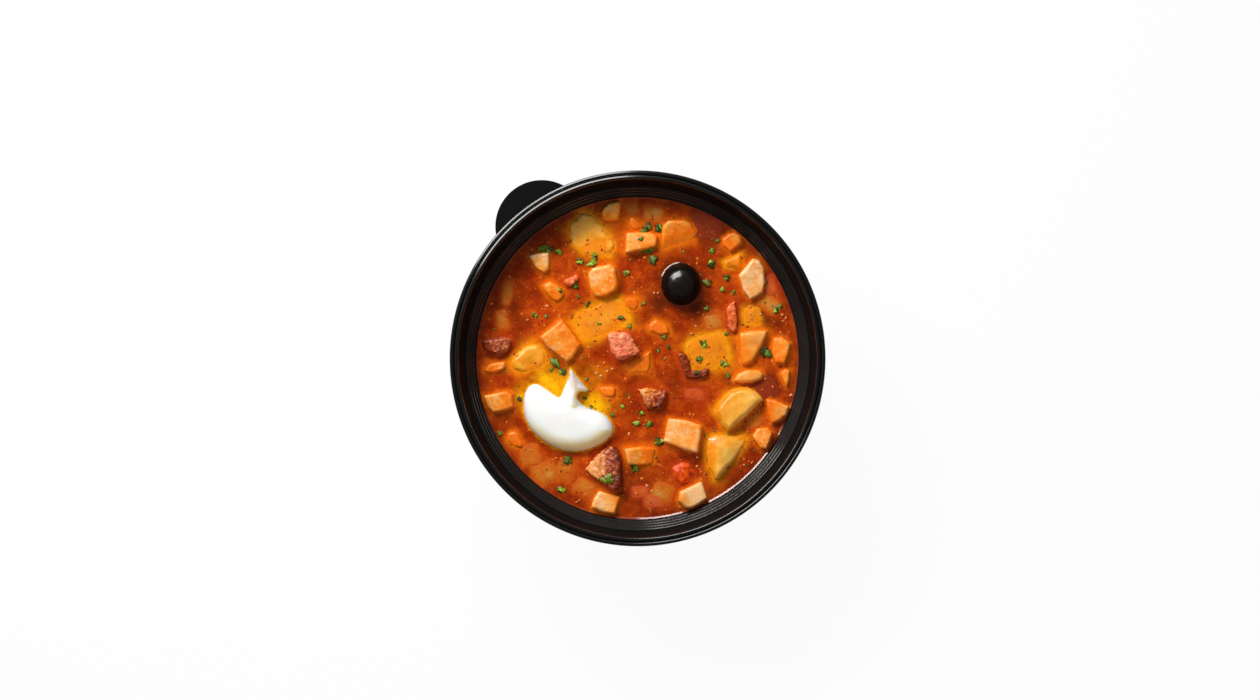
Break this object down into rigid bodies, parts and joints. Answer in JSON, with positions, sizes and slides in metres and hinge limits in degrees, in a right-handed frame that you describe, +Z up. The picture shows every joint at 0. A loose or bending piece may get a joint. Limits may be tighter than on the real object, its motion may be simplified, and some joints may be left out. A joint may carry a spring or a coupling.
{
  "type": "bowl of solyanka",
  "caption": "Round black take-away bowl filled with orange-red solyanka soup: ham, potato, smoked meat, sausage, an olive, sour cream and parsley.",
  "frame": {"origin": "on the bowl's axis, on the flat underside of its base", "axes": "+Z up through the open top, +Y towards the top of the picture, +X to its right; the rim's lifting tab points up and left, 126 degrees from +X towards +Y"},
  "size_m": [0.16, 0.16, 0.058],
  "materials": {
    "black_plastic": "smooth black moulded plastic, semi-gloss",
    "broth": "orange-red broth, wet gloss with an oily film",
    "sour_cream": "soft satin cream white",
    "olive": "shiny black skin",
    "ham": "wet cut ham, peach to orange",
    "gammon": "pink-red fibrous cured meat",
    "smoked_meat": "dark red-brown smoked meat with pale fibres",
    "sausage": "peach sausage with a thin skin",
    "potato": "wet boiled potato, yellow",
    "tomato": "wet red-orange tomato flesh"
  },
  "bodies": {
    "root": {"bowl": "black_plastic", "broth": "broth", "sour_cream": "sour_cream", "olive": "olive", "ham_1": "ham", "ham_2": "ham", "ham_3": "ham", "ham_4": "ham", "ham_5": "ham", "ham_6": "ham", "ham_7": "ham", "ham_8": "ham", "ham_9": "ham", "ham_10": "ham", "ham_11": "ham", "ham_12": "ham", "ham_13": "ham", "ham_14": "ham", "ham_15": "ham", "ham_16": "ham", "ham_17": "ham", "ham_18": "ham", "ham_19": "ham", "ham_20": "ham", "ham_21": "ham", "ham_22": "ham", "ham_23": "ham", "ham_24": "ham", "ham_25": "ham", "gammon_1": "gammon", "gammon_2": "gammon", "gammon_3": "gammon", "smoked_meat_1": "smoked_meat", "smoked_meat_2": "smoked_meat", "smoked_meat_3": "smoked_meat", "rind": "smoked_meat", "sausage_1": "sausage", "sausage_2": "sausage", "potato_1": "potato", "potato_2": "potato", "potato_3": "potato", "potato_4": "potato", "potato_5": "potato", "tomato": "tomato"}
  },
  "joints": []
}
